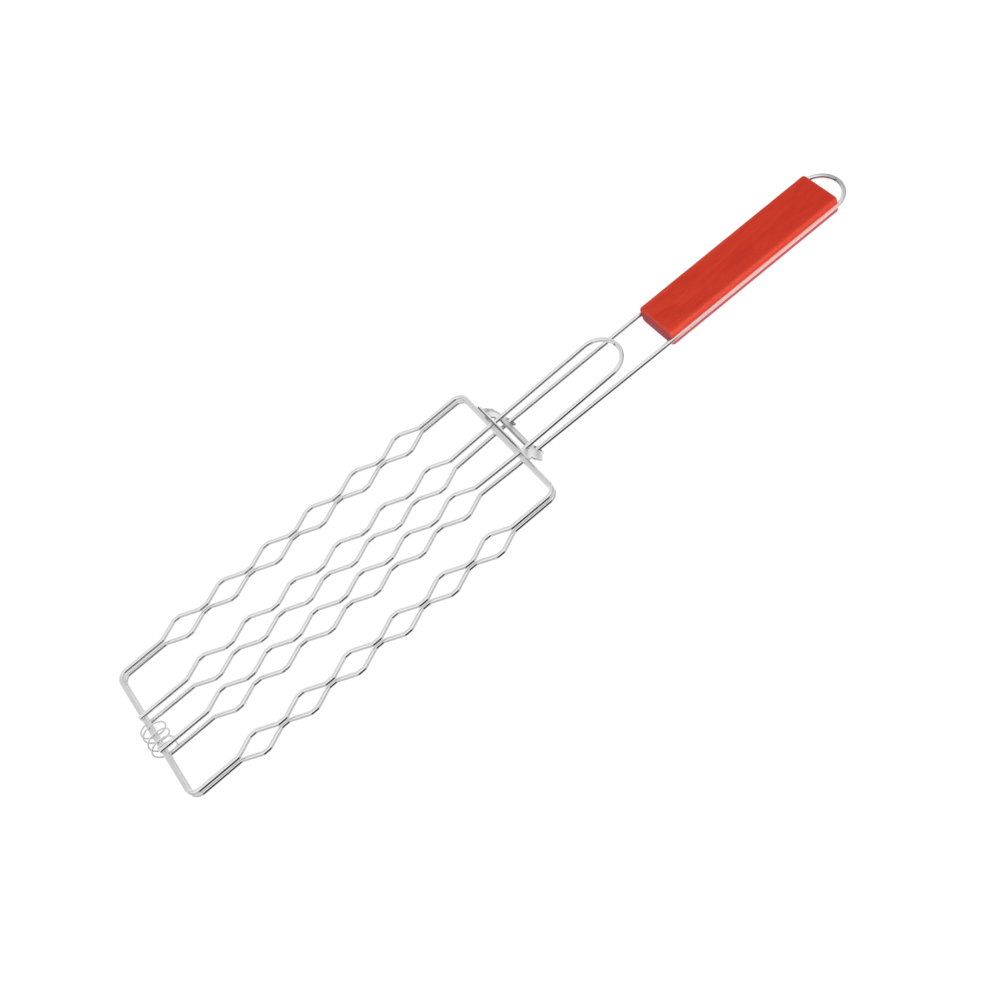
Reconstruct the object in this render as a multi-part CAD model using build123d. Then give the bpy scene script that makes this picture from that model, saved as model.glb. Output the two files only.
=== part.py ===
from build123d import *
import math
import os

# Hinged wire grill basket with a long wooden handle and a sliding plate lock.
#
# X runs along the basket from the hinge end to the handle end, Y across it, and
# Z up when the basket lies closed on a table. The origin is on the table, below
# the middle of the whole object. Millimetres.
#
# The pieces are laid out with x = 0 on the far cross wires (hinge end) and z = 0
# half way between the two grids; the export moves them to the origin.
# "Far" is the hinge end, "near" the handle end.

# --- wire --------------------------------------------------------------------
WIRE_D = 2.6                # all four frame wires
WIRE_R = WIRE_D / 2
WELD_SINK = 0.6             # how far a centre wire sinks into a cross wire
SHORTEST_RUN = 1e-3         # straight runs up to this length are left out

# --- grids: two closed rings, one above the other ----------------------------
OVERALL_WIDTH = 90.0        # over the straight sides of the rings
BASKET_LENGTH = 237.8       # between the centrelines of the two cross wires
RING_GAP = 4.2              # between the centrelines of the two rings
RING_CORNER_R = 5.4         # on the centreline
RING_Y = OVERALL_WIDTH / 2 - WIRE_R
UPPER_RING_Z = RING_GAP / 2
LOWER_RING_Z = -RING_GAP / 2

# waves: flat-topped zigzags that stay in the plane of each grid
WAVE_COUNT = 6
WAVE_PITCH = 30.6
WAVE_START = 29.8           # first foot, from the far cross wire
WAVE_RISE = 10.7            # length along X of each sloping run
WAVE_CREST = 4.2            # length of the flat on each crest
WAVE_HEIGHT = 5.15          # sideways offset of the crest
WAVE_BEND_R = 3.8           # on the centreline
UPPER_WAVE_SIDE = 1         # crests of the upper grid point to +Y
LOWER_WAVE_SIDE = -1        # crests of the lower grid point to -Y

# --- centre wires: the middle strands of a grid and its handle, in one wire ---
LID_STRAND_Y = 11.92
BASE_STRAND_Y = 11.74
STRAND_OVERHANG = 1.3       # cut ends reach past the far cross wire centreline
LID_CENTRE_Z = UPPER_RING_Z + WIRE_D - WELD_SINK
BASE_CENTRE_Z = LOWER_RING_Z - (WIRE_D - WELD_SINK)
NECK_X = BASKET_LENGTH + 1.0    # slight bend where strands turn into handle rods
NECK_BEND_R = 40.0
BOW_RUN = 0.02              # half the straight left between the two bends of a bow

# short handle on the lid
LID_HANDLE_Y = 12.7         # half spacing of its two rods
LID_HANDLE_END = 315.7      # centreline of the end bow
LID_HANDLE_RISE = 1.4       # the bow sits this much above the lid wire

# wooden grip
GRIP_START = 340.6
GRIP_LENGTH = 120.4
GRIP_WIDTH = 26.8
GRIP_THICKNESS = 11.0
GRIP_EDGE_R = 1.3
GRIP_CORNER_R = 1.8
GROOVE_CLEARANCE = 0.14
GROOVE_MOUTH = 10           # depth of the cut from a rod's axis out past the side
GROOVE_OVERRUN = 20         # extra length of the groove cutters

# long handle on the base
ROD_Y_NECK = 12.6           # half spacing of the rods at the basket
ROD_Y_GRIP = 13.3           # half spacing of the rods in the grip and loop
HANDLE_SLOPE = 0.0185       # drop per millimetre along the handle
OVERALL_END = 473.7         # outside of the hanging loop
LOOP_END = OVERALL_END - WIRE_R
GRIP_ENTRY = GRIP_START - 6.0   # where the spreading rods become parallel
GRIP_ENTRY_BEND_R = 60.0

# --- hinge coil --------------------------------------------------------------
COIL_WIRE_D = 1.0
COIL_MEAN_R = 6.6
COIL_TURNS = 4.05
COIL_START_ANGLE = 90.0     # angle of its +Y end, from +X up
COIL_Y = (-9.6, 6.6)        # ends of its centreline
HINGE_Z = -2.5

# --- slide lock: u runs across the plate, v up along it from z = 0 -------------
LOCK_THICKNESS = 1.0
LOCK_LEAN = 32.0            # degrees from upright, top towards the basket
LOCK_X = 244.5              # where the plate's middle plane crosses z = 0
LOCK_CORNER_R = 0.9
LOCK_TIP_U = 23.6           # half width across the upper tips
LOCK_WING_U = 23.3          # half width of the wings at the shoulder
NOTCH_V = 8.4               # root of the notch in each wing
NOTCH_DEPTH = 2.4

# +U half of the outline, from the top down and back in: u, v
LOCK_HALF_OUTLINE = [
    (LOCK_TIP_U, 11.9),                 # upper tip
    (LOCK_TIP_U, NOTCH_V + 1.5),        # notch, upper lip
    (LOCK_TIP_U - NOTCH_DEPTH, NOTCH_V),
    (LOCK_WING_U - 0.3, NOTCH_V - 1.8),     # notch, lower lip
    (LOCK_WING_U, 0.5),                 # shoulder, where the wing starts to taper
    (16.2, -6.0),                       # foot, outer side
    (15.7, -8.1),
    (10.2, -8.1),                       # foot, inner side
    (9.4, -3.4),                        # lower edge between the feet
]

# openings: u span, v span, corner radius
LID_SLOT = ((-14.4, 14.4), (2.85, 10.0), 1.1)
RIGHT_EYE = ((10.9, 15.05), (-7.1, -2.95), 1.6)
LEFT_EYE = ((-15.05, -10.9), (-7.1, -2.95), 1.6)


# --- bent wire ---------------------------------------------------------------
# A bent wire is given as a list of bends: (corner point, bend radius). The first
# and last entries are the ends of the wire, and their radius is not used.
def bent_wire(bends):
    """Straight runs joined by tangent arcs, swept with a round section."""
    points = [Vector(*point) for point, _ in bends]
    edges = []
    run_start = points[0]

    def add_run(end):
        if (end - run_start).length > SHORTEST_RUN:
            edges.append(Edge.make_line(run_start, end))

    for i in range(1, len(bends) - 1):
        corner, radius = points[i], bends[i][1]
        back = (points[i - 1] - corner).normalized()
        ahead = (points[i + 1] - corner).normalized()
        inside_angle = math.acos(max(-1.0, min(1.0, back.dot(ahead))))
        setback = radius / math.tan(inside_angle / 2)
        bisector = (back + ahead).normalized()
        centre = corner + bisector * (radius / math.sin(inside_angle / 2))
        arc_start = corner + back * setback
        arc_end = corner + ahead * setback
        add_run(arc_start)
        edges.append(Edge.make_three_point_arc(arc_start, centre - bisector * radius, arc_end))
        run_start = arc_end
    add_run(points[-1])

    path = Wire(edges)
    section = Plane(origin=path @ 0, z_dir=path % 0) * Circle(WIRE_R)
    return sweep(section, path=path)


def wave_bends(y, z, side):
    """Bends of one wavy strand from far to near, with its crests to side * Y."""
    crest_y = y + side * WAVE_HEIGHT
    bends = []
    for k in range(WAVE_COUNT):
        x = WAVE_START + k * WAVE_PITCH
        corners = [
            (x, y, z),
            (x + WAVE_RISE, crest_y, z),
            (x + WAVE_RISE + WAVE_CREST, crest_y, z),
            (x + 2 * WAVE_RISE + WAVE_CREST, y, z),
        ]
        bends += [(corner, WAVE_BEND_R) for corner in corners]
    return bends


def mirrored(bends):
    """The same bends on the other side of the XZ plane, in reverse order."""
    return [((x, -y, z), radius) for (x, y, z), radius in reversed(bends)]


def grid_ring(z, side):
    """Closed ring: cross wires at both ends and two wavy sides."""
    seam = ((BASKET_LENGTH, 0, z), 0)   # middle of the near cross wire
    near_corner = [((BASKET_LENGTH, RING_Y, z), RING_CORNER_R)]
    far_corner = [((0, RING_Y, z), RING_CORNER_R)]
    return bent_wire(
        [seam]
        + near_corner
        + wave_bends(RING_Y, z, side)[::-1]
        + far_corner
        + mirrored(far_corner)
        + wave_bends(-RING_Y, z, side)
        + mirrored(near_corner)
        + [seam]
    )


def centre_wire(strand_y, z, side, neck_y, handle_bends):
    """Two wavy strands that run on over the near cross wire into a handle.

    handle_bends are the bends of the handle's +Y half, from the neck outwards.
    """
    cut_end = [((-STRAND_OVERHANG, strand_y, z), 0)]
    half_handle = [((NECK_X, neck_y, z), NECK_BEND_R)] + handle_bends
    return bent_wire(
        cut_end
        + wave_bends(strand_y, z, side)
        + half_handle
        + mirrored(half_handle)
        + wave_bends(-strand_y, z, side)[::-1]
        + mirrored(cut_end)
    )


def lid_centre_wire():
    """Rods run straight out and close in a half-round bow."""
    bow_z = LID_CENTRE_Z + LID_HANDLE_RISE
    bow = ((LID_HANDLE_END, LID_HANDLE_Y, bow_z), LID_HANDLE_Y - BOW_RUN)
    return centre_wire(LID_STRAND_Y, LID_CENTRE_Z, UPPER_WAVE_SIDE, LID_HANDLE_Y, [bow])


def long_handle_z(x):
    """Height of the long handle's centreline at x."""
    return BASE_CENTRE_Z - HANDLE_SLOPE * (x - BASKET_LENGTH)


def base_centre_wire():
    """Rods spread a little up to the grip, pass through it and close in a loop."""
    entry = ((GRIP_ENTRY, ROD_Y_GRIP, long_handle_z(GRIP_ENTRY)), GRIP_ENTRY_BEND_R)
    loop = ((LOOP_END, ROD_Y_GRIP, long_handle_z(LOOP_END)), ROD_Y_GRIP - BOW_RUN)
    return centre_wire(BASE_STRAND_Y, BASE_CENTRE_Z, LOWER_WAVE_SIDE, ROD_Y_NECK, [entry, loop])


# --- other pieces ------------------------------------------------------------
def make_grip():
    """Rounded block along the handle rods, with an open groove in each side."""
    block = Box(GRIP_LENGTH, GRIP_WIDTH, GRIP_THICKNESS)
    block = fillet(block.edges().filter_by(Axis.Z), GRIP_CORNER_R)
    block = fillet(block.faces().sort_by(Axis.Z)[-1].edges(), GRIP_EDGE_R)
    block = fillet(block.faces().sort_by(Axis.Z)[0].edges(), GRIP_EDGE_R)

    groove_r = WIRE_R + GROOVE_CLEARANCE
    cut_length = GRIP_LENGTH + GROOVE_OVERRUN
    for side in (1, -1):
        rod = Pos(0, side * ROD_Y_GRIP, 0) * Rot(0, 90, 0) * Cylinder(groove_r, cut_length)
        mouth_y = side * (ROD_Y_GRIP + GROOVE_MOUTH / 2)
        mouth = Pos(0, mouth_y, 0) * Box(cut_length, GROOVE_MOUTH, 2 * groove_r)
        block = block - rod - mouth

    middle_x = GRIP_START + GRIP_LENGTH / 2
    tilt = math.degrees(math.atan(HANDLE_SLOPE))
    return Location((middle_x, 0, long_handle_z(middle_x)), (0, tilt, 0)) * block


def make_hinge_coil():
    """Helical wire around both far cross wires."""
    length = COIL_Y[1] - COIL_Y[0]
    helix = Edge.make_helix(length / COIL_TURNS, length, COIL_MEAN_R, (0, 0, 0), (0, 0, 1))
    path = Wire([helix])
    section = Plane(origin=path @ 0, z_dir=path % 0) * Circle(COIL_WIRE_D / 2)
    coil = sweep(section, path=path, is_frenet=True)
    # the helix axis is turned onto -Y, starting from the +Y end
    return Pos(0, COIL_Y[1], HINGE_Z) * Rot(90, 0, 0) * Rot(0, 0, COIL_START_ANGLE) * coil


def opening(u_span, v_span, corner_r):
    """Round-cornered rectangular face."""
    face = Rectangle(u_span[1] - u_span[0], v_span[1] - v_span[0])
    face = Pos(sum(u_span) / 2, sum(v_span) / 2) * face
    return fillet(face.vertices(), corner_r)


def make_slide_lock():
    """Flat plate with finger wings, a slot for the lid handle and two feet.

    Each foot has an eye for one rod of the long handle.
    """
    outline = LOCK_HALF_OUTLINE + [(-u, v) for u, v in reversed(LOCK_HALF_OUTLINE)]
    face = make_face(Polyline(*outline, close=True))
    face = fillet(face.vertices(), LOCK_CORNER_R)
    for hole in (LID_SLOT, RIGHT_EYE, LEFT_EYE):
        face = face - opening(*hole)
    plate = extrude(face, amount=LOCK_THICKNESS / 2, both=True)

    # u goes to +Y, v leans up and back towards the basket
    lean = math.radians(LOCK_LEAN)
    lock_plane = Plane(
        origin=(LOCK_X, 0, 0),
        x_dir=(0, 1, 0),
        z_dir=(math.cos(lean), 0, math.sin(lean)),
    )
    return lock_plane * plate


# --- build and export --------------------------------------------------------
upper_ring = grid_ring(UPPER_RING_Z, UPPER_WAVE_SIDE)
lower_ring = grid_ring(LOWER_RING_Z, LOWER_WAVE_SIDE)
wooden_grip = make_grip()

# at the welds, each centre wire gives way to the cross wires it is set into
nodes = {
    "lower_grid_ring": lower_ring,
    "lower_grid_centre_wire": base_centre_wire() - lower_ring,
    "upper_grid_ring": upper_ring,
    "upper_grid_centre_wire": lid_centre_wire() - upper_ring,
    "wooden_grip": wooden_grip,
    "hinge_coil": make_hinge_coil(),
    "slide_lock": make_slide_lock(),
}

# the object reaches from the back of the coil to the end of the loop in X,
# and rests on the lowest point of the grip
coil_back = -(COIL_MEAN_R + COIL_WIRE_D / 2)
middle_x = (coil_back + OVERALL_END) / 2
to_origin = Pos(-middle_x, 0, -wooden_grip.bounding_box().min.Z)

os.makedirs("parts", exist_ok=True)
for name, shape in nodes.items():
    export_step(to_origin * shape, f"parts/{name}.step")
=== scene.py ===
"""A hinged wire grilling basket with a wooden grip, closed and lying flat.

The hinge coil is at x = 0, the handle runs towards +x, y is across and z is up.
Pieces are laid out in millimetres, with z = 0 half way between the two grids.
"""
import math

import bpy
import bmesh
import numpy as np
from mathutils import Matrix, Vector
from mathutils.geometry import delaunay_2d_cdt


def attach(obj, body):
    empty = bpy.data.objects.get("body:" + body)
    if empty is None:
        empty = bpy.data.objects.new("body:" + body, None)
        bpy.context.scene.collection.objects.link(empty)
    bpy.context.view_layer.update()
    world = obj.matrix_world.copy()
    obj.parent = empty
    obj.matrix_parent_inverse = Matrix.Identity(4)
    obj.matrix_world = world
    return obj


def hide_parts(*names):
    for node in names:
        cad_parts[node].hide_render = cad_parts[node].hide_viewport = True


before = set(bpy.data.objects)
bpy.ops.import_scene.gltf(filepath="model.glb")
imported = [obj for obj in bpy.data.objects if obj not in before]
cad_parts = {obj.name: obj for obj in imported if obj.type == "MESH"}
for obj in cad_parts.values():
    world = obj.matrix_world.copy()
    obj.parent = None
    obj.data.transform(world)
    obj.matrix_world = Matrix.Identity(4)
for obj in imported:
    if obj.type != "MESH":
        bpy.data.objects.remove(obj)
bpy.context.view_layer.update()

# Layout origin, millimetres, as seen from the row frame
ORIGIN_X, ORIGIN_Z = 233.3, -13.704245140928807

# Grids
WIRE_RADIUS = 2.6 / 2
LENGTH = 237.8
RING_Y = 43.7
WIRE_GAP = 2.0                      # between the axes of two welded wires
RING_Z = 2.1                        # rings lie at + and - this height
CENTRE_Z = RING_Z + WIRE_GAP        # centre wires lie outside the rings
LID_Y, BASE_Y = 11.92, 11.74        # centre wires, from the middle line
OVERHANG = 1.3                      # centre wire ends past the cross wires
RING_CORNER = 5.4

# Waves along the wires
WAVES, WAVE_PITCH, WAVE_START = 6, 30.6, 29.8
WAVE_RISE, WAVE_CREST, WAVE_HEIGHT = 10.7, 4.2, 5.15
WAVE_BEND = 3.8

# Handles
NECK_BEND = 40.0
NECK_X = LENGTH + 1
LID_NECK_Y, BASE_NECK_Y = 12.7, 12.6
BOW_X, BOW_RISE = 315.7, 1.4        # end of the lid's short handle
ROD_Y, LOOP_X = 13.3, 472.4         # rods in the grip, and their hanging loop
ROD_ENTRY_BEND = 60.0
SLOPE = 0.0185                      # the long handle drops towards +x
END_SLACK = 0.02                    # keeps a short straight between two end bends

# Grip
GRIP_X, GRIP_LENGTH, GRIP_WIDTH, GRIP_THICKNESS = 340.6, 120.4, 26.8, 11.0
GRIP_EDGE, GRIP_CORNER = 1.3, 1.8   # radii along the edges and in plan
GROOVE_RADIUS = WIRE_RADIUS + 0.14
ENTRY_X = GRIP_X - 6.0

# Hinge coil
COIL_WIRE_RADIUS = 0.95 / 2
COIL_RADIUS, HINGE_Z = 6.6, -2.5

# Slide lock
LOCK_THICKNESS, LOCK_LEAN, LOCK_X = 1.0, 32.0, 244.5

rng = np.random.default_rng(4711)


def to_row(point):
    """Layout millimetres to row-frame metres."""
    x, y, z = point
    return np.array([(x - ORIGIN_X) / 1000.0, y / 1000.0, (z - ORIGIN_Z) / 1000.0])


def row_x(x):
    return (x - ORIGIN_X) / 1000


# ---------------------------------------------------------------------------
# Mesh helpers
# ---------------------------------------------------------------------------
def new_object(name, verts, faces, **attributes):
    """Smooth mesh from row-frame verts, with one value or vector per vertex."""
    mesh = bpy.data.meshes.new(name)
    mesh.from_pydata([tuple(map(float, v)) for v in verts], [], [tuple(f) for f in faces])
    for key, values in attributes.items():
        values = np.asarray(values, np.float32)
        kind, field = ("FLOAT_VECTOR", "vector") if values.ndim == 2 else ("FLOAT", "value")
        attribute = mesh.attributes.new(key, kind, "POINT")
        attribute.data.foreach_set(field, values.ravel())
    mesh.polygons.foreach_set("use_smooth", [True] * len(mesh.polygons))
    mesh.update()
    obj = bpy.data.objects.new(name, mesh)
    bpy.context.scene.collection.objects.link(obj)
    # outward normals everywhere
    bm = bmesh.new()
    bm.from_mesh(mesh)
    bmesh.ops.recalc_face_normals(bm, faces=bm.faces)
    bm.to_mesh(mesh)
    bm.free()
    return obj


def register(obj, body, node=None):
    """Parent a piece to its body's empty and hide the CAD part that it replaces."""
    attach(obj, body)
    if node:
        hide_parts(node)
    return obj


def band(first, second, count):
    """Quads between two closed rings of vertices, given by their first indices."""
    return [
        [first + k, first + (k + 1) % count, second + (k + 1) % count, second + k]
        for k in range(count)
    ]


def fade(distance, reach):
    """1 at distance 0, falling to 0 at the reach."""
    return max(0.0, 1 - distance / reach)


def fillet(before, corner, after, radius, steps_for, max_share=math.inf):
    """Arc that rounds a corner, using at most max_share of either side."""
    back, ahead = before - corner, after - corner
    back_length, ahead_length = np.linalg.norm(back), np.linalg.norm(ahead)
    back, ahead = back / back_length, ahead / ahead_length
    inside = math.acos(max(-1.0, min(1.0, float(back @ ahead))))
    reach = min(radius / math.tan(inside / 2), back_length * max_share, ahead_length * max_share)
    radius = reach * math.tan(inside / 2)
    bisector = (back + ahead) / np.linalg.norm(back + ahead)
    centre = corner + bisector * radius / math.sin(inside / 2)
    turn = math.pi - inside
    start = corner + back * reach - centre
    end = corner + ahead * reach - centre
    steps = steps_for(turn)
    return [
        centre + (start * math.sin(turn * (1 - k / steps)) + end * math.sin(turn * k / steps))
        / math.sin(turn)
        for k in range(steps + 1)
    ]


# ---------------------------------------------------------------------------
# Wire paths
# ---------------------------------------------------------------------------
STRAIGHT_STEP = 2.4     # longest step along a straight run
BEND_STEP = 6.0         # largest turn per step, degrees


def bend(corners, closed=False):
    """Sampled path of straight runs and tangent arcs through (point, radius) corners."""
    points = [np.array(point, float) for point, _ in corners]
    count = len(points)
    arcs = {
        i: fillet(points[i - 1], points[i], points[(i + 1) % count], corners[i][1],
                  lambda turn: max(2, int(math.ceil(math.degrees(turn) / BEND_STEP))))
        for i in (range(count) if closed else range(1, count - 1))
    }
    path = [arcs[0][-1] if closed else points[0]]
    for i in [*range(1, count)] + ([0] if closed else []):
        arc = arcs.get(i, [points[i]])
        start = path[-1]
        run = arc[0] - start
        steps = max(1, int(math.ceil(np.linalg.norm(run) / STRAIGHT_STEP)))
        path += [start + run * k / steps for k in range(1, steps + 1)]
        path += arc[1:]
    if closed:
        path.pop()      # the same point as the first
    return path


def wave(y, z, side):
    """Corners of the flat-topped waves along +x; side is the way they rise in y."""
    corners = []
    for k in range(WAVES):
        x = WAVE_START + k * WAVE_PITCH
        crest_y = y + side * WAVE_HEIGHT
        corners += [
            ((x, y, z), WAVE_BEND),
            ((x + WAVE_RISE, crest_y, z), WAVE_BEND),
            ((x + WAVE_RISE + WAVE_CREST, crest_y, z), WAVE_BEND),
            ((x + 2 * WAVE_RISE + WAVE_CREST, y, z), WAVE_BEND),
        ]
    return corners


def ring_path(z, side):
    return bend([
        ((LENGTH, RING_Y, z), RING_CORNER),
        *wave(RING_Y, z, side)[::-1],
        ((0, RING_Y, z), RING_CORNER),
        ((0, -RING_Y, z), RING_CORNER),
        *wave(-RING_Y, z, side),
        ((LENGTH, -RING_Y, z), RING_CORNER),
    ], closed=True)


def handle_z(x):
    """Height of the long handle's rods."""
    return -CENTRE_Z - SLOPE * (x - LENGTH)


def centre_path(y, z, side, neck_y, handle):
    """Centre wire, out along +y, round the handle and back along -y.

    handle holds the corners of its +y half; the -y half mirrors them.
    """
    return bend([
        ((-OVERHANG, y, z), 0),
        *wave(y, z, side),
        ((NECK_X, neck_y, z), NECK_BEND),
        *handle,
        *[((hx, -hy, hz), radius) for (hx, hy, hz), radius in reversed(handle)],
        ((NECK_X, -neck_y, z), NECK_BEND),
        *wave(-y, z, side)[::-1],
        ((-OVERHANG, -y, z), 0),
    ])


short_handle = [((BOW_X, LID_NECK_Y, CENTRE_Z + BOW_RISE), LID_NECK_Y - END_SLACK)]
long_handle = [
    ((ENTRY_X, ROD_Y, handle_z(ENTRY_X)), ROD_ENTRY_BEND),
    ((LOOP_X, ROD_Y, handle_z(LOOP_X)), ROD_Y - END_SLACK),
]
upper_ring_path = ring_path(RING_Z, +1)
lower_ring_path = ring_path(-RING_Z, -1)
lid_centre_path = centre_path(LID_Y, CENTRE_Z, +1, LID_NECK_Y, short_handle)
base_centre_path = centre_path(BASE_Y, -CENTRE_Z, -1, BASE_NECK_Y, long_handle)


# ---------------------------------------------------------------------------
# Round wire along a path
# ---------------------------------------------------------------------------
# Rounded wire end: share of the end length, share of the radius
END_PROFILE = ((0.0, 0.76), (0.10, 0.885), (0.32, 0.965), (1.0, 1.0))


def twist_free_normals(tangents, closed):
    up = np.array([0.0, 0.0, 1.0])
    normal = up - tangents[0] * (up @ tangents[0])
    normals = [normal / np.linalg.norm(normal)]
    for tangent in tangents[1:]:
        normal = normals[-1] - tangent * (normals[-1] @ tangent)
        normals.append(normal / np.linalg.norm(normal))
    if closed:
        # spread any closing twist over the whole loop
        last = normals[-1] - tangents[0] * (normals[-1] @ tangents[0])
        last /= np.linalg.norm(last)
        twist = math.atan2(np.cross(last, normals[0]) @ tangents[0], last @ normals[0])
        for i, tangent in enumerate(tangents):
            angle = twist * i / len(tangents)
            side = np.cross(tangent, normals[i])
            normals[i] = normals[i] * math.cos(angle) + side * math.sin(angle)
    return normals


def tube(path, radius, segments, end_length=0.28, closed=False):
    """Verts, faces and (distance, across, across) coordinates of a wire."""
    path = np.array(path, float)
    if closed:
        tangents = np.roll(path, -1, 0) - np.roll(path, 1, 0)
    else:
        tangents = np.gradient(path, axis=0)
    tangents /= np.linalg.norm(tangents, axis=1)[:, None]
    normals = twist_free_normals(tangents, closed)
    steps = np.linalg.norm(np.diff(path, axis=0), axis=1)
    along = np.concatenate([[0], np.cumsum(steps)])

    def end_stations(i, inward):
        return [
            (path[i] + tangents[i] * inward * end_length * share, i, radius * scale,
             along[i] + inward * end_length * share)
            for share, scale in END_PROFILE
        ]

    # stations: centre, path index, radius, distance along
    clear = 0 if closed else end_length * 1.6
    stations = [
        (path[i], i, radius, along[i]) for i in range(len(path))
        if closed or (along[i] >= clear and along[-1] - along[i] >= clear)
    ]
    if not closed:
        stations = end_stations(0, 1) + stations + end_stations(-1, -1)[::-1]

    verts, faces, coords = [], [], []
    angles = np.arange(segments) * 2 * math.pi / segments
    for centre, i, station_radius, distance in stations:
        side = np.cross(tangents[i], normals[i])
        for angle in angles:
            outward = normals[i] * math.cos(angle) + side * math.sin(angle)
            verts.append(to_row(centre + outward * station_radius))
            coords.append((distance, radius * math.cos(angle), radius * math.sin(angle)))
    count = len(stations)
    for i in range(count if closed else count - 1):
        faces += band(i * segments, (i + 1) % count * segments, segments)
    if not closed:
        faces.append([*range(segments)][::-1])
        faces.append([(count - 1) * segments + k for k in range(segments)])
    return verts, faces, coords


# ---------------------------------------------------------------------------
# Grid wires
# ---------------------------------------------------------------------------
HEAT_REACH = 0.0065     # metres round a weld
HEAT_POWER = 1.5
WELD_WINDOW = 30        # reach along x searched for the wire at a weld


def y_at(path, x, side):
    """The y of a path where it passes x, on the +y or -y side."""
    points = np.array([p for p in path if p[1] * side > 0 and abs(p[0] - x) < WELD_WINDOW])
    order = np.argsort(points[:, 0])
    return float(np.interp(x, points[order, 0], points[order, 1]))


def find_welds(path, outward):
    """Crossings on the ring's axis: x, y, z and the z direction of the centre wire."""
    return [(x, y_at(path, x, side), outward * RING_Z, outward)
            for x in (0.0, LENGTH) for side in (1, -1)]


welds = {"lid": find_welds(lid_centre_path, 1), "base": find_welds(base_centre_path, -1)}


def weld_heat(verts, body):
    """1 at a weld of the body, falling to 0 at the reach."""
    verts = np.array(verts)
    heat = np.zeros(len(verts))
    for x, y, z, outward in welds[body]:
        centre = to_row((x, y, z + outward * WIRE_GAP / 2))
        distance = np.linalg.norm(verts - centre[None], axis=1)
        heat = np.maximum(heat, np.clip(1 - distance / HEAT_REACH, 0, 1))
    return heat ** HEAT_POWER


def grid_wire(name, path, closed, body, node):
    verts, faces, coords = tube(path, WIRE_RADIUS, segments=28, closed=closed)
    obj = new_object(name, verts, faces, wp=coords, heat=weld_heat(verts, body))
    return register(obj, body, node)


wires = [
    grid_wire("lower_ring_wire", lower_ring_path, True, "base", "lower_grid_ring"),
    grid_wire("upper_ring_wire", upper_ring_path, True, "lid", "upper_grid_ring"),
    grid_wire("long_handle_wire", base_centre_path, False, "base", "lower_grid_centre_wire"),
    grid_wire("short_handle_wire", lid_centre_path, False, "lid", "upper_grid_centre_wire"),
]


# ---------------------------------------------------------------------------
# Weld beads: squeezed-out metal along the seam between two crossing wires
# ---------------------------------------------------------------------------
BEAD_STEPS, BEAD_SEGMENTS = 36, 12
BEAD_THICKNESS = 0.36                                   # half the bead's section
BEAD_RIPPLES = ((2, 0.05), (5, 0.035), (9, 0.02))       # waves per turn, height
BEAD_OUTSET, BEAD_SWAY = 0.10, 0.04                     # seam to bead centre, and its wander
BEAD_WIDEN, BEAD_FLATTEN = 1.05, 0.95                   # section shape, outwards and in z
BEAD_HEAT = 0.9


def seam(angle):
    """Radius and height of the seam above the ring wire's axis, at an angle."""
    low, high = 0.5, 1.29
    for _ in range(30):
        middle = (low + high) / 2
        surface_gap = (math.sqrt(WIRE_RADIUS ** 2 - (middle * math.cos(angle)) ** 2)
                       + math.sqrt(WIRE_RADIUS ** 2 - (middle * math.sin(angle)) ** 2))
        if surface_gap > WIRE_GAP:
            low = middle
        else:
            high = middle
    return low, math.sqrt(WIRE_RADIUS ** 2 - (low * math.cos(angle)) ** 2)


def weld_beads(name, body):
    verts, faces, coords = [], [], []
    for x, y, z, outward in welds[body]:
        first = len(verts)
        phases = rng.uniform(0, 2 * math.pi, 4)
        for i in range(BEAD_STEPS):
            around = 2 * math.pi * i / BEAD_STEPS
            radius, height = seam(around)
            thickness = BEAD_THICKNESS
            for (waves, ripple), phase in zip(BEAD_RIPPLES, phases):
                thickness += ripple * math.sin(waves * around + phase)
            out = radius + BEAD_OUTSET + BEAD_SWAY * math.sin(3 * around + phases[3])
            for k in range(BEAD_SEGMENTS):
                angle = 2 * math.pi * k / BEAD_SEGMENTS
                across, up = thickness * math.cos(angle), thickness * math.sin(angle)
                reach = out + BEAD_WIDEN * across
                verts.append(to_row((x + reach * math.cos(around), y + reach * math.sin(around),
                                     z + outward * height + BEAD_FLATTEN * up)))
                coords.append((around * 2.0, across, up))
        for i in range(BEAD_STEPS):
            following = (i + 1) % BEAD_STEPS
            faces += band(first + i * BEAD_SEGMENTS, first + following * BEAD_SEGMENTS,
                          BEAD_SEGMENTS)
    obj = new_object(name, verts, faces, wp=coords, heat=np.ones(len(verts)) * BEAD_HEAT)
    return register(obj, body)


beads = [weld_beads("weld_beads_lid", "lid"), weld_beads("weld_beads_base", "base")]


# ---------------------------------------------------------------------------
# Hinge coil
# ---------------------------------------------------------------------------
# Turn count, place along y: the turns are a little uneven
COIL_KNOTS = (
    (0.25, 6.6), (0.5, 6.0), (1.0, 5.2), (1.5, 3.0), (2.0, 0.3),
    (2.5, -3.0), (3.0, -5.2), (3.5, -7.5), (4.0, -9.1), (4.3, -9.6),
)
SMOOTH_HALF, SMOOTH_PASSES = 12, 3      # half width and repeats of the running mean


def hinge_coil():
    knot_turns, knot_y = np.array(COIL_KNOTS).T
    turns = np.linspace(knot_turns[0], knot_turns[-1], 400)
    lane = np.interp(turns, knot_turns, knot_y)
    width = 2 * SMOOTH_HALF + 1
    for _ in range(SMOOTH_PASSES):
        lane[SMOOTH_HALF:-SMOOTH_HALF] = np.convolve(lane, np.ones(width) / width, "valid")
    path = [
        (COIL_RADIUS * math.cos(2 * math.pi * turn), y,
         HINGE_Z + COIL_RADIUS * math.sin(2 * math.pi * turn))
        for turn, y in zip(turns[::2], lane[::2])
    ]
    verts, faces, coords = tube(path, COIL_WIRE_RADIUS, segments=16, end_length=0.12)
    obj = new_object("hinge_coil_wire", verts, faces, wp=coords, heat=np.zeros(len(verts)))
    return register(obj, "base", "hinge_coil")


coil = hinge_coil()


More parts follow.
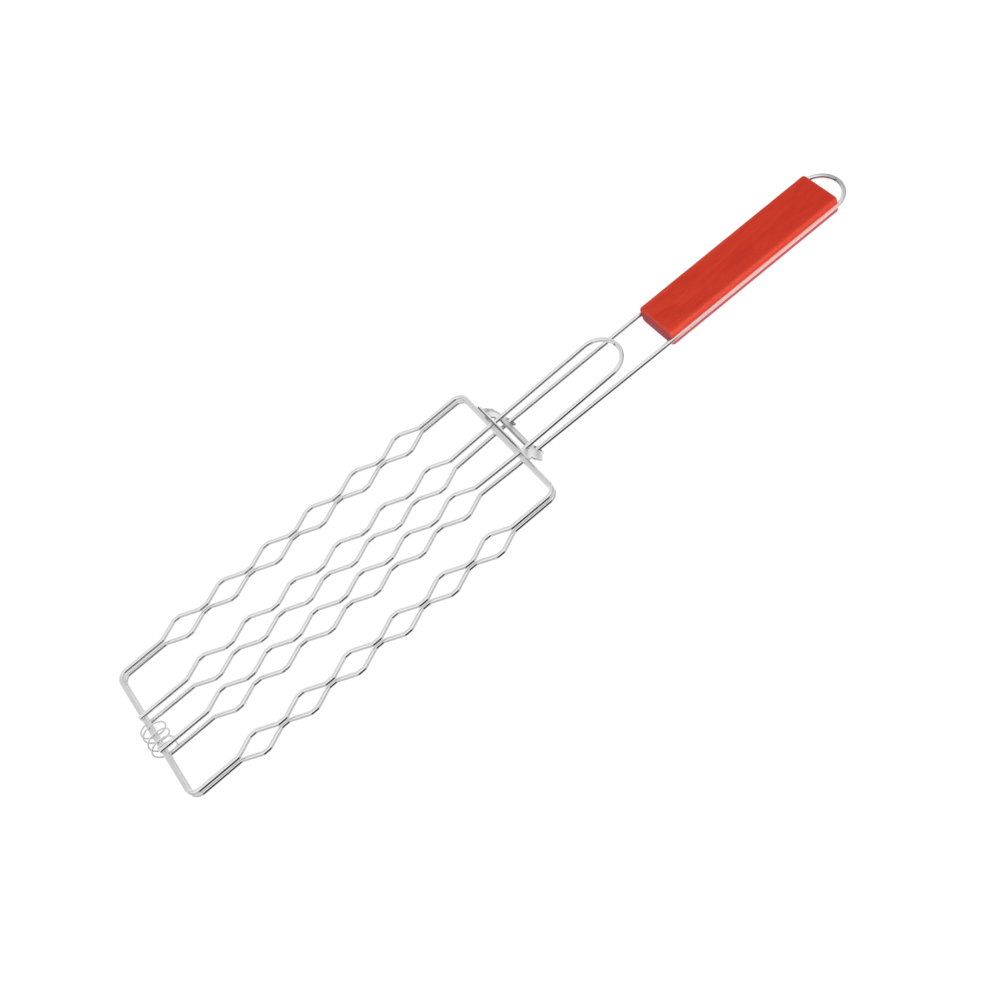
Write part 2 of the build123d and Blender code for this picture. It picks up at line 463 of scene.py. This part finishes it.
# ---------------------------------------------------------------------------
# Slide lock: a leaning stamped plate with softened edges.
# u runs along +y, v up the plate, w out of the face towards the handle.
# ---------------------------------------------------------------------------
# Outline on the +y side, (u, v), from the top edge to the bottom
LOCK_HALF = [
    (23.6, 11.9), (23.6, 9.9), (21.2, 8.4), (23.0, 6.6), (23.3, 0.5),
    (16.2, -6.0), (15.7, -8.1), (10.2, -8.1), (9.4, -3.4),
]


def opening(u_low, u_high, v_low, v_high):
    return [(u_low, v_low), (u_high, v_low), (u_high, v_high), (u_low, v_high)]


# Counter-clockwise corners, corner radius, step; the outline comes first
LOCK_LOOPS = (
    ([(-u, v) for u, v in LOCK_HALF] + LOCK_HALF[::-1], 0.9, 1.2),
    (opening(-14.4, 14.4, 2.85, 10.0), 1.1, 1.2),
    (opening(10.9, 15.05, -7.1, -2.95), 1.6, 0.7),
    (opening(-15.05, -10.9, -7.1, -2.95), 1.6, 0.7),
)
DIE_ROLL, BACK_BREAK = 0.30, 0.14       # edge radii on the handle face and the other face
OPENING_RIM_SHADE = 0.45                      # painted shade round the openings, outline = 1
EDGE_REACH, LIP_REACH = 1.6, 3.4        # painted shade, bright edges and smoother edges fade in over these widths
FILL_STEP, FILL_CLEARANCE = 0.8, 0.45   # inner points: pitch, least distance to a rim


def round_loop(corners, radius):
    """Closed loop with each corner rounded, less where the sides are short."""
    points = [np.array(corner, float) for corner in corners]
    out = []
    for i, point in enumerate(points):
        out += fillet(points[i - 1], point, points[(i + 1) % len(points)], radius,
                      lambda turn: max(3, int(5 * turn / 1.2)), max_share=0.48)
    return out


def split_loop(points, step):
    out = []
    for i, start in enumerate(points):
        end = points[(i + 1) % len(points)]
        count = max(1, int(math.ceil(np.linalg.norm(end - start) / step)))
        out += [start + (end - start) * k / count for k in range(count)]
    return out


def loop_normals(points):
    """Outward unit normals of a counter-clockwise loop."""
    points = np.array(points)
    tangents = np.roll(points, -1, 0) - np.roll(points, 1, 0)
    tangents /= np.linalg.norm(tangents, axis=1)[:, None]
    return np.stack([tangents[:, 1], -tangents[:, 0]], 1)


def is_inside(point, polygon):
    inside = False
    for i in range(len(polygon)):
        a, b = polygon[i - 1], polygon[i]
        if (a[1] > point[1]) != (b[1] > point[1]):
            if point[0] < (b[0] - a[0]) * (point[1] - a[1]) / (b[1] - a[1]) + a[0]:
                inside = not inside
    return inside


def nearest(points, point):
    return np.min(np.hypot(*(points - np.array(point)).T))


def lock_edge_profile():
    """(inset into the metal, w) from the handle face to the other face."""
    half = LOCK_THICKNESS / 2
    profile = []
    for k in range(6):
        angle = math.pi / 2 * k / 5
        profile.append((DIE_ROLL * (1 - math.sin(angle)), half - DIE_ROLL * (1 - math.cos(angle))))
    for k in range(4):
        angle = math.pi / 2 * k / 3
        profile.append((BACK_BREAK * (1 - math.cos(angle)),
                        -half + BACK_BREAK * (1 - math.sin(angle))))
    return profile


def slide_lock():
    half = LOCK_THICKNESS / 2
    lean = math.radians(LOCK_LEAN)
    w_axis = np.array([math.cos(lean), 0, math.sin(lean)])
    u_axis = np.array([0, 1.0, 0])
    v_axis = np.cross(w_axis, u_axis)
    origin = np.array([LOCK_X, 0, 0])
    verts, faces, flat = [], [], []
    edge, cut, lip = [], [], []

    def add_vertex(u, v, w, edge_value, cut_value, lip_value):
        verts.append(to_row(origin + u_axis * u + v_axis * v + w_axis * w))
        flat.append((u, v, w))
        edge.append(edge_value)
        cut.append(cut_value)
        lip.append(lip_value)

    # edge bands round the outline and the openings
    profile = lock_edge_profile()
    rims = []       # first vertex, points in the loop
    for number, (corners, radius, step) in enumerate(LOCK_LOOPS):
        outer = number == 0
        points = split_loop(round_loop(corners, radius), step)
        normals = loop_normals(points)
        first, count = len(verts), len(points)
        for inset, w in profile:
            sheared = -half + BACK_BREAK * 0.5 < w < half - DIE_ROLL * 0.4
            # painted shade on the sheared band of each rim, full on the outline
            cut_value = (1.0 if outer else OPENING_RIM_SHADE) if sheared else 0.0
            for point, normal in zip(points, normals):
                u, v = point - normal * inset * (1.0 if outer else -1.0)
                add_vertex(u, v, w, 1.0, cut_value, 1.0 if outer else 0.0)
        for i in range(len(profile) - 1):
            faces += band(first + i * count, first + (i + 1) * count, count)
        rims.append((first, count))

    # flat faces, with inner points so that painted shade and bright edges can fade in from the
    # edges
    for row in (0, len(profile) - 1):
        coords, index, edges, sizes = [], [], [], []
        for first, count in rims:
            start = len(coords)
            for k in range(count):
                vertex = first + row * count + k
                coords.append(Vector(flat[vertex][:2]))
                index.append(vertex)
                edges.append((start + k, start + (k + 1) % count))
            sizes.append(count)
        rim_points = np.array([c[:] for c in coords])
        outline, *holes = np.split(rim_points, np.cumsum(sizes)[:-1])

        def is_metal(point):
            return is_inside(point, outline) and not any(is_inside(point, h) for h in holes)

        w = profile[row][1]
        for u in np.arange(-24, 24.1, FILL_STEP):
            for v in np.arange(-9, 12.1, FILL_STEP):
                # nudged off the grid
                point = (u + 0.13 * math.sin(v * 3), v + 0.11 * math.sin(u * 2))
                if not is_metal(point):
                    continue
                distance = nearest(rim_points, point)
                if distance > FILL_CLEARANCE:
                    coords.append(Vector(point))
                    index.append(len(verts))
                    add_vertex(*point, w, fade(distance, EDGE_REACH), 0.0,
                               fade(nearest(outline, point), LIP_REACH))
        filled, _, triangles, sources, _, _ = delaunay_2d_cdt(coords, edges, [], 0, 1e-6)
        for triangle in triangles:
            if is_metal(sum((filled[i] for i in triangle), Vector((0, 0))) / len(triangle)):
                faces.append([index[sources[i][0]] for i in triangle])

    obj = new_object("slide_lock_plate", verts, faces, edge=edge, lp=flat, cut=cut, lip=lip)
    weighted = obj.modifiers.new("faces", "WEIGHTED_NORMAL")
    weighted.weight = 100
    weighted.keep_sharp = False
    return register(obj, "lock", "slide_lock")


lock = slide_lock()


# ---------------------------------------------------------------------------
# Wooden grip: rounded bar with an open groove along each side
# ---------------------------------------------------------------------------
GRIP_STEP = 1.6
GRIP_MIDDLE_X = GRIP_X + GRIP_LENGTH / 2
ARC_STEPS = 8                           # also the columns on half the flat face
GROOVE_STEPS = 14
GROOVE_LIP = 0.5                        # width of the softened lip of the groove
GROOVE_LIP_DROP = 0.16
CAP_SCALE = 0.985                       # ring just inside the rim of an end face


def grip_profile(half_width, half_height):
    """(y, z) from the top centre, round the +y side, to the bottom centre."""
    flat_width, straight_top = half_width - GRIP_EDGE, half_height - GRIP_EDGE
    upper = [(flat_width * k / ARC_STEPS, half_height) for k in range(ARC_STEPS + 1)]
    for k in range(1, ARC_STEPS):
        angle = math.pi / 2 * k / ARC_STEPS
        upper.append((flat_width + GRIP_EDGE * math.sin(angle),
                      straight_top + GRIP_EDGE * math.cos(angle)))
    side = [*np.linspace(straight_top, GROOVE_RADIUS + 0.55, 5)]
    side += [GROOVE_RADIUS + above for above in (0.32, 0.16, 0.05)]
    for z in side:
        lip = (z - GROOVE_RADIUS) / GROOVE_LIP
        softened = lip < 1 and half_width > ROD_Y - 0.2
        upper.append((half_width - (GROOVE_LIP_DROP * (1 - lip) ** 2 if softened else 0), z))
    groove = []
    for k in range(GROOVE_STEPS + 1):
        angle = math.pi * k / GROOVE_STEPS
        groove.append((min(half_width, ROD_Y - GROOVE_RADIUS * math.sin(angle)),
                       GROOVE_RADIUS * math.cos(angle)))
    return upper + groove + [(y, -z) for y, z in reversed(upper)]


def setback(distance, radius):
    """How far a rounded end draws in at a distance from the end."""
    if distance >= radius:
        return 0
    return radius - math.sqrt(radius ** 2 - (radius - distance) ** 2)


def sanded(x, y, z):
    """Hand-sanded: the surfaces away from the groove wander by a few hundredths."""
    wander = 0.035 * math.sin(x * 0.21 + y * 0.5) + 0.025 * math.sin(x * 0.47 + z * 1.3 + 2.0)
    sanded_y, sanded_z = y, z
    if abs(z) > GROOVE_RADIUS + 0.6:
        if abs(z) > 3:
            sanded_z -= abs(wander) * np.sign(z)
        if abs(y) > 9:
            sanded_y -= (0.018 + 0.3 * wander) * np.sign(y)
    return x, sanded_y, sanded_z


def grip_to_row(x, y, z):
    rise = math.atan(SLOPE)
    along = x - GRIP_LENGTH / 2
    return to_row((GRIP_MIDDLE_X + along * math.cos(rise) + z * math.sin(rise), y,
                   handle_z(GRIP_MIDDLE_X) - along * math.sin(rise) + z * math.cos(rise)))


def grip_edge_wear_and_highlight(to_end, side_gap, face_gap):
    """Edge wear, partly a painted highlight, along the long edges and round the ends, from
    distances to the surfaces.
    """
    long_edge = fade(abs(0.5 - side_gap), 2.2) * fade(abs(face_gap - 0.5), 2.2)
    end_edge = fade(to_end, 2.0) * max(fade(abs(side_gap), 1.8), fade(abs(face_gap), 1.8))
    return max(long_edge, end_edge)


def wooden_grip():
    # stations along the bar from its -x end, closer together at the rounded ends
    end = [GRIP_CORNER * (1 - math.cos(math.pi / 2 * k / ARC_STEPS)) for k in range(ARC_STEPS + 1)]
    middle = np.arange(end[-1] + GRIP_STEP, GRIP_LENGTH - end[-1] - 1.0, GRIP_STEP)
    stations = end + list(middle) + [GRIP_LENGTH - x for x in reversed(end)]

    verts, faces, edge, rings = [], [], [], []
    for x in stations:
        to_end = min(x, GRIP_LENGTH - x)
        half_width = GRIP_WIDTH / 2 - setback(to_end, GRIP_CORNER)
        half_height = GRIP_THICKNESS / 2 - setback(to_end, GRIP_EDGE)
        profile = grip_profile(half_width, half_height)
        loop = profile + [(-y, z) for y, z in reversed(profile[1:-1])]
        rings.append(len(verts))
        for y, z in loop:
            verts.append(grip_to_row(*sanded(x, y, z)))
            edge.append(grip_edge_wear_and_highlight(to_end, half_width - abs(y), half_height - abs(z)))
    count = len(loop)
    for first, second in zip(rings[:-1], rings[1:]):
        faces += band(first, second, count)

    for first in (rings[0], rings[-1]):
        rim = verts[first:first + count]
        centre = sum(rim) / count
        inner = len(verts)
        verts += [centre + (vert - centre) * CAP_SCALE for vert in rim]
        edge += [0.0] * count
        faces += band(first, inner, count)
        # strips across the end face; the first and last are triangles
        for k in range(count // 2):
            strip = (k, k + 1, count - k - 1, -k % count)
            faces.append([inner + i for i in dict.fromkeys(strip)])
    obj = new_object("wooden_grip_bar", verts, faces, edge=edge)
    return register(obj, "base", "wooden_grip")


grip = wooden_grip()


# ---------------------------------------------------------------------------
# Shader helpers
# ---------------------------------------------------------------------------
class Shader:
    """A cleared node tree with short ways to add linked nodes."""

    def __init__(self, owner, output="OutputMaterial"):
        owner.use_nodes = True
        self.tree = owner.node_tree
        self.tree.nodes.clear()
        self.output = self.node(output)

    def node(self, kind, inputs=None, **properties):
        """New node; inputs maps a socket's name or index to a socket or a value."""
        node = self.tree.nodes.new("ShaderNode" + kind)
        for key, value in properties.items():
            setattr(node, key, value)
        for key, value in (inputs or {}).items():
            if isinstance(value, bpy.types.NodeSocket):
                self.tree.links.new(value, node.inputs[key])
            else:
                node.inputs[key].default_value = value
        return node

    def finish(self, node):
        self.tree.links.new(node.outputs[0], self.output.inputs[0])

    def math(self, operation, a, b=0.0, clamp=False):
        return self.node("Math", {0: a, 1: b}, operation=operation, use_clamp=clamp).outputs[0]

    def times(self, first, *others):
        for other in others:
            first = self.math("MULTIPLY", first, other)
        return first

    def plus(self, first, *others):
        for other in others:
            first = self.math("ADD", first, other)
        return first

    def minus(self, a, b):
        return self.math("SUBTRACT", a, b)

    def size(self, value):
        return self.math("ABSOLUTE", value)

    def mix(self, a, b, amount):
        """Colour a, covered by b."""
        return self.node("Mix", {0: amount, 6: a, 7: b}, data_type="RGBA").outputs[2]

    def blend(self, a, b, amount):
        """Number a, going over to b."""
        return self.node("Mix", {0: amount, 2: a, 3: b}, data_type="FLOAT").outputs[0]

    def remap(self, value, span, to=(0, 1), interpolation="LINEAR"):
        """Carry span onto to, held at its ends."""
        inputs = dict(enumerate((value, *span, *to)))
        return self.node("MapRange", inputs, interpolation_type=interpolation).outputs[0]

    def mapping(self, vector, scale=(1, 1, 1), shift=(0, 0, 0), turn=(0, 0, 0)):
        inputs = {"Vector": vector, "Scale": scale, "Location": shift, "Rotation": turn}
        return self.node("Mapping", inputs).outputs[0]

    def noise(self, vector, scale, detail, rough, turn=(0, 0, 0)):
        """Noise over a vector stretched by scale."""
        return self.node("TexNoise", {
            "Vector": self.mapping(vector, scale, turn=turn),
            "Scale": 1.0, "Detail": detail, "Roughness": rough, "Distortion": 0.0,
        }).outputs[0]

    def bump(self, height, strength, distance):
        inputs = {"Strength": strength, "Distance": distance, "Height": height}
        return self.node("Bump", inputs).outputs[0]

    def attribute(self, name, output="Fac"):
        return self.node("Attribute", attribute_name=name).outputs[output]

    def split(self, vector):
        return self.node("SeparateXYZ", {0: vector}).outputs

    def object_coords(self):
        return self.node("TexCoord").outputs["Object"]


def grey(value):
    return (value, value, value, 1.0)


# ---------------------------------------------------------------------------
# Materials. Wire coordinates "wp" and plate coordinates "lp" are in millimetres.
# ---------------------------------------------------------------------------
def wire_material(name, tints, roughness, line_scale):
    """Drawn wire: light, mid and patch tints, roughness span, fineness of draw lines."""
    material = bpy.data.materials.new(name)
    s = Shader(material)
    coords = s.attribute("wp", "Vector")
    heat = s.attribute("heat")
    x = s.split(s.object_coords())[0]
    fine_scale = line_scale * 2.6
    lines = s.noise(coords, (0.10, line_scale, line_scale), detail=3.0, rough=0.6)
    fine = s.noise(coords, (0.35, fine_scale, fine_scale), detail=2.0, rough=0.5)
    patch = s.noise(coords, (0.045, 0.35, 0.35), detail=4.0, rough=0.6)
    spots = s.noise(coords, (1.6, 1.6, 1.6), detail=2.0, rough=0.5)

    # draw lines, patches, dark spots, then straw colour round the welds
    light, mid, patch_tint = tints
    color = s.mix(light, mid, amount=s.remap(lines, span=(0.3, 0.7)))
    color = s.mix(color, patch_tint, amount=s.remap(patch, span=(0.35, 0.75), to=(0, 0.55)))
    color = s.mix(color, grey(0.42), amount=s.remap(spots, span=(0.68, 0.8), to=(0, 0.35)))
    hot = s.times(heat, s.remap(spots, span=(0.2, 0.7), to=(0.5, 1.0)))
    color = s.mix(color, (0.40, 0.37, 0.33, 1), amount=s.times(hot, 0.65))

    # painted shade: the outer end of the hanging loop is greyed to stand in for its dark
    # reflections
    loop_end = s.remap(x, span=(row_x(465.0), row_x(471.5)), to=(0, 0.6))
    color = s.mix(color, grey(0.36), amount=loop_end)

    # painted reflection: inside the grooves of the grip the wire is tinted light pink, standing in
    # for its reflection of the red groove, more strongly towards the loop
    grip_end = GRIP_X + GRIP_LENGTH
    painted_groove_reflection = s.times(
        s.remap(x, span=(row_x(GRIP_X + 1.0), row_x(GRIP_X + 5.0))),
        s.remap(x, span=(row_x(grip_end - 1.0), row_x(grip_end + 1.0)), to=(1, 0)),
        s.remap(x, span=(row_x(GRIP_X), row_x(GRIP_X + 0.55 * GRIP_LENGTH)), to=(0.45, 1.0)),
    )
    color = s.mix(color, (0.80, 0.48, 0.44, 1), amount=painted_groove_reflection)

    # fine lines set the roughness; patches, heat and the painted groove reflection add to it
    rough = s.plus(
        s.remap(fine, span=(0.25, 0.75), to=roughness),
        s.remap(patch, span=(0.4, 0.8), to=(0.0, 0.10)),
        s.times(hot, 0.22),
        s.times(painted_groove_reflection, 0.35),
    )
    # relief: draw lines, fine lines, and spots where it was hot
    height = s.plus(s.times(lines, 0.6), s.times(fine, 0.4), s.times(spots, heat, 1.5))
    s.finish(s.node("BsdfPrincipled", {
        "Metallic": s.minus(1.0, s.times(painted_groove_reflection, 0.85)),      # less metallic where the groove reflection is painted
        "Base Color": color,
        "Roughness": rough,
        "Normal": s.bump(height, strength=0.35, distance=0.00003),
    }))
    return material


def lock_material():
    """Stamped plate: u runs to +y, v up the plate."""
    material = bpy.data.materials.new("stamped_plate")
    s = Shader(material)
    coords = s.attribute("lp", "Vector")
    edge = s.attribute("edge")
    u, v, _ = s.split(coords)
    rolled = s.noise(coords, (0.22, 5.0, 5.0), detail=4.0, rough=0.6)
    cloud = s.noise(coords, (0.12, 0.16, 0.16), detail=4.0, rough=0.6)
    scratches = s.noise(coords, (0.6, 9.0, 4.0), detail=2.0, rough=0.5, turn=(0, 0, 0.5))
    mottle = s.noise(coords, (0.75, 0.75, 0.75), detail=3.0, rough=0.6)

    # rolled lines, clouds, bright edges and scratches
    color = s.mix(grey(0.93), grey(0.86), amount=s.remap(rolled, span=(0.3, 0.7)))
    color = s.mix(color, grey(0.76), amount=s.remap(cloud, span=(0.35, 0.7), to=(0, 0.5)))
    edge_shine = s.times(edge, s.remap(cloud, span=(0.3, 0.6), to=(0.2, 0.6)))
    color = s.mix(color, grey(0.95), amount=edge_shine)
    color = s.mix(color, grey(0.97), amount=s.remap(scratches, span=(0.70, 0.78), to=(0, 0.5)))

    # painted shade: the sheared edge is painted dark for the line of shade along the rim, least at
    # the -y end
    painted_rim_shade = s.times(
        s.attribute("cut"),
        s.remap(u, span=(-17.0, -11.0), to=(0.05, 1.0)),
        s.remap(rolled, span=(0.2, 0.8), to=(0.80, 1.0)),
    )
    color = s.mix(color, grey(0.10), amount=painted_rim_shade)

    # painted shade: the bar between the rods is painted grey, and so is the outer lip of the +y
    # wing
    bar = s.times(
        s.remap(s.size(u), span=(12.0, 16.0), to=(1, 0)),
        s.remap(v, span=(2.4, 3.4), to=(1, 0)),
    )
    wing_shade = s.times(
        s.remap(s.attribute("lip"), span=(0.0, 0.4)),
        s.remap(u, span=(13.0, 17.0)),
        s.remap(v, span=(9.5, 11.0), to=(1, 0)),
        s.remap(mottle, span=(0.38, 0.54), to=(0.45, 1.3)),
    )
    bar_shade = s.times(bar, s.remap(cloud, span=(0.3, 0.7), to=(0.75, 1.0)))
    shade_tint = s.mix(grey(0.60), grey(0.40), amount=s.remap(u, span=(12.0, 14.0)))
    color = s.mix(color, shade_tint, amount=s.math("MAXIMUM", bar_shade, wing_shade))
    # painted shade: dark lines along the rims of the bar
    bar_rim_shade = s.times(
        bar,
        s.remap(edge, span=(0.45, 0.95)),
        s.remap(cloud, span=(0.3, 0.7), to=(0.6, 1.0)),
    )
    color = s.mix(color, grey(0.20), amount=bar_rim_shade)

    # the edges are smoother than the faces
    rough = s.minus(
        s.plus(
            s.remap(rolled, span=(0.3, 0.7), to=(0.22, 0.36)),
            s.remap(cloud, span=(0.35, 0.7), to=(0.0, 0.10)),
        ),
        s.times(edge, 0.10),
    )
    # relief: rolled lines and scratches
    height = s.plus(s.times(rolled, 0.7), s.times(scratches, 0.5))
    s.finish(s.node("BsdfPrincipled", {
        "Metallic": 1.0,
        "Base Color": color,
        "Roughness": rough,
        "Normal": s.bump(height, strength=0.4, distance=0.00003),
    }))
    return material


WOOD_RED = (0.66, 0.038, 0.012, 1)
WOOD_DEEP = (0.53, 0.020, 0.006, 1)
WOOD_LIGHT = (0.74, 0.062, 0.024, 1)
WOOD_PORE = (0.28, 0.010, 0.005, 1)
# lighter edge colour: wear, partly a painted highlight
WOOD_WORN_HIGHLIGHT = (0.84, 0.16, 0.10, 1)
WOOD_LOOP_END = (0.62, 0.022, 0.006, 1)
# purplish colours of painted shade and reflection for the lower lip and the end faces
WOOD_LIP_SHADE = (0.42, 0.085, 0.105, 1)
WOOD_END_GRAIN_AND_SHADE = (0.34, 0.060, 0.078, 1)
RING_WANDER = 14.0                  # sideways wander of the growth rings, mm
# Point on the bar's axis that heights are measured from, row-frame mm
AXIS_X, AXIS_Z = 167.7, 6.58


def growth_rings(s, coords, x, y, z):
    """Growth rings that wander slowly along the bar."""
    wander = s.noise(coords, (0.012, 0.05, 0.05), detail=2.0, rough=0.5)
    shift = s.times(s.minus(wander, 0.5), RING_WANDER)
    bent = s.node("CombineXYZ", {
        0: s.times(x, 0.03),                # rings change slowly along the bar
        1: s.plus(y, shift),
        2: s.plus(z, s.times(shift, 0.5)),
    }).outputs[0]
    return s.node("TexWave", {
        "Vector": s.mapping(bent, shift=(0, 6.0, 26.0)),
        "Scale": 0.16, "Distortion": 1.4, "Detail": 2.0, "Detail Scale": 0.6,
    }, wave_type="RINGS", rings_direction="X", wave_profile="SAW").outputs["Fac"]


def wood_material():
    material = bpy.data.materials.new("stained_wood")
    s = Shader(material)
    coords = s.mapping(s.object_coords(), (1000, 1000, 1000))       # to millimetres
    x, y, z = s.split(coords)
    normal_x = s.split(s.node("NewGeometry").outputs["True Normal"])[0]
    end = s.remap(s.size(normal_x), span=(0.55, 0.9))
    edge = s.attribute("edge")
    ring = growth_rings(s, coords, x, y, z)
    fibre = s.noise(coords, (0.05, 2.4, 2.4), detail=4.0, rough=0.6)
    pore = s.noise(coords, (0.16, 4.5, 4.5), detail=2.0, rough=0.5)
    patch = s.noise(coords, (0.05, 0.14, 0.14), detail=3.0, rough=0.55)
    fleck = s.noise(coords, (0.5, 3.0, 3.0), detail=2.0, rough=0.5)

    color = s.mix(WOOD_RED, WOOD_DEEP, amount=s.remap(ring, span=(0.25, 1.0), to=(0, 0.55)))
    color = s.mix(color, WOOD_LIGHT, amount=s.remap(fibre, span=(0.35, 0.7), to=(0, 0.5)))
    color = s.mix(color, WOOD_DEEP, amount=s.remap(patch, span=(0.45, 0.75), to=(0, 0.6)))
    color = s.mix(color, WOOD_PORE, amount=s.remap(pore, span=(0.62, 0.72), to=(0, 0.60)))
    # edge wear, partly a painted highlight on the rounded edges
    wear_and_highlight = s.times(edge, s.remap(fleck, span=(0.3, 0.7), to=(0.1, 0.55)))
    color = s.mix(color, WOOD_WORN_HIGHLIGHT, amount=wear_and_highlight)
    # the stain is a little deeper towards the hanging loop
    loop_end = s.remap(x, span=(110.0, 225.0), to=(0.0, 0.45))
    color = s.mix(color, WOOD_LOOP_END, amount=loop_end)
    # painted shade and reflection: purplish dark red along the lower lip, under the wire, and on
    # the end faces, which also keep some end-grain colour
    level = s.plus(z, s.times(s.minus(x, AXIS_X), SLOPE))
    painted_lip_shade = s.times(
        s.remap(s.minus(level, AXIS_Z), span=(-1.2, -2.4)),
        s.remap(fleck, span=(0.2, 0.8), to=(0.55, 0.9)),
    )
    color = s.mix(color, WOOD_LIP_SHADE, amount=painted_lip_shade)
    # painted shade and reflection on the end faces, over their end-grain colour
    color = s.mix(color, WOOD_END_GRAIN_AND_SHADE, amount=s.times(end, 0.85))

    # the sawn ends are rougher
    fibre_rough = s.remap(fibre, span=(0.3, 0.7), to=(0.42, 0.58))
    rough = s.math("ADD", fibre_rough, s.times(end, 0.25), clamp=True)
    # relief: fibres and rings stand up, pores sink
    height = s.minus(
        s.plus(s.times(fibre, 0.5), s.times(ring, 0.25)),
        s.times(s.remap(pore, span=(0.6, 0.72)), 0.8),
    )
    s.finish(s.node("BsdfPrincipled", {
        "Base Color": color,
        "Roughness": rough,
        "Normal": s.bump(height, strength=0.45, distance=0.00012),
        "Specular IOR Level": 0.16,
        "Coat Weight": s.times(s.minus(1.0, end), 0.10),    # thin coat, none on the ends
        "Coat Roughness": 0.28,
        "Coat Normal": s.bump(height, strength=0.25, distance=0.00008),
    }))
    return material


wire_mat = wire_material("drawn_wire", tints=(grey(0.90), grey(0.85), grey(0.80)),
                         roughness=(0.10, 0.18), line_scale=5.0)
coil_mat = wire_material("coil_wire", tints=(grey(0.97), grey(0.95), grey(0.92)),
                         roughness=(0.42, 0.54), line_scale=8.0)
lock_mat = lock_material()
wood_mat = wood_material()
for piece in wires + beads:
    piece.data.materials.append(wire_mat)
coil.data.materials.append(coil_mat)
lock.data.materials.append(lock_mat)
grip.data.materials.append(wood_mat)


# ---------------------------------------------------------------------------
# Stage: pale floor, soft sky, one large soft lamp
# ---------------------------------------------------------------------------
FLOOR_HALF = 6


def studio_floor():
    """Square floor that partly glows and is left out of reflections."""
    mesh = bpy.data.meshes.new("studio_floor")
    corners = [(x * FLOOR_HALF, y * FLOOR_HALF, 0) for x, y in ((-1, -1), (1, -1), (1, 1), (-1, 1))]
    mesh.from_pydata(corners, [], [(0, 1, 2, 3)])
    obj = bpy.data.objects.new("studio_floor", mesh)
    bpy.context.scene.collection.objects.link(obj)
    material = bpy.data.materials.new("pale_floor")
    s = Shader(material)
    diffuse = s.node("BsdfDiffuse", {"Color": (0.9, 0.9, 0.9, 1)})
    glow = s.node("Emission", {"Color": (1, 1, 1, 1), "Strength": 1.12})
    glow_share = 0.80
    s.finish(s.node("MixShader", {0: glow_share, 1: diffuse.outputs[0], 2: glow.outputs[0]}))
    mesh.materials.append(material)
    obj.visible_glossy = False


def studio_world():
    """Room brightness by direction; the camera stands on the -y side."""
    world = bpy.data.worlds.new("studio")
    bpy.context.scene.world = world
    s = Shader(world, "OutputWorld")
    x, y, z = s.split(s.node("TexCoord").outputs["Generated"])

    def ease(value, span, to=(0.0, 1.0)):
        return s.remap(value, span, to, interpolation="SMOOTHSTEP")

    # a dark wall stands on the camera side, a little narrower than the basket is long
    wall = s.times(ease(x, span=(0.26, 0.335), to=(1.0, 0.0)), ease(x, span=(-0.45, -0.30)))
    # bright overhead and on the camera side, softer on the far side
    sky = s.blend(0.70, 1.05, amount=ease(y, span=(-0.25, 0.45), to=(1.0, 0.0)))
    low = s.blend(0.56, 0.015, amount=wall)
    # bright table on the far side, and an even patch straight down
    low = s.blend(low, 0.95, amount=ease(y, span=(0.0, 0.30)))
    low = s.blend(0.80, low, amount=ease(z, span=(-0.88, -0.50)))
    value = s.blend(low, sky, amount=ease(z, span=(0.42, 0.84)))
    # the two ends of the room are dimmer
    ends = s.times(ease(s.size(x), span=(0.25, 0.60)), ease(y, span=(0.2, 0.4)),
                   ease(z, span=(-0.35, -0.15)))
    value = s.times(value, s.blend(1.0, 0.80, amount=ends))
    # dimmer as diffuse light, plain white to the camera
    ray = s.node("LightPath").outputs
    value = s.times(value, s.blend(1.0, 0.76, amount=ray["Is Diffuse Ray"]))
    value = s.blend(value, 1.0, amount=ray["Is Camera Ray"])
    s.finish(s.node("Background", {"Strength": value, "Color": (1, 1, 1, 1)}))


def soft_key():
    """Large lamp above the -y side, aimed at the row origin."""
    light = bpy.data.lights.new("soft_key", "AREA")
    light.shape = "RECTANGLE"
    light.size = 1.6
    light.size_y = 1.0
    light.energy = 26.0
    obj = bpy.data.objects.new("soft_key", light)
    place = Vector((-0.2, -1.6, 0.9))
    obj.location = place
    obj.rotation_mode = "QUATERNION"
    obj.rotation_quaternion = (-place).to_track_quat("-Z", "Y")
    obj.visible_glossy = False
    bpy.context.scene.collection.objects.link(obj)


def camera():
    data = bpy.data.cameras.new("camera")
    data.sensor_fit = "HORIZONTAL"
    data.sensor_width = 36.0
    data.lens = 47.697
    data.clip_start = 0.01
    data.clip_end = 100.0
    obj = bpy.data.objects.new("camera", data)
    bpy.context.scene.collection.objects.link(obj)
    right = Vector((0.7637952, -0.5722765, -0.2985238))
    down = Vector((-0.6397659, -0.6099335, -0.4676332))
    forward = Vector((0.0855359, 0.5481614, -0.8319872))
    pose = Matrix((right, -down, -forward)).transposed().to_4x4()
    pose.translation = Vector((-0.0783241, -0.4026564, 0.5864173))
    obj.matrix_world = pose
    bpy.context.scene.camera = obj


studio_floor()
studio_world()
soft_key()
camera()
bpy.context.scene.view_settings.view_transform = "Standard"
bpy.context.scene.view_settings.look = "None"
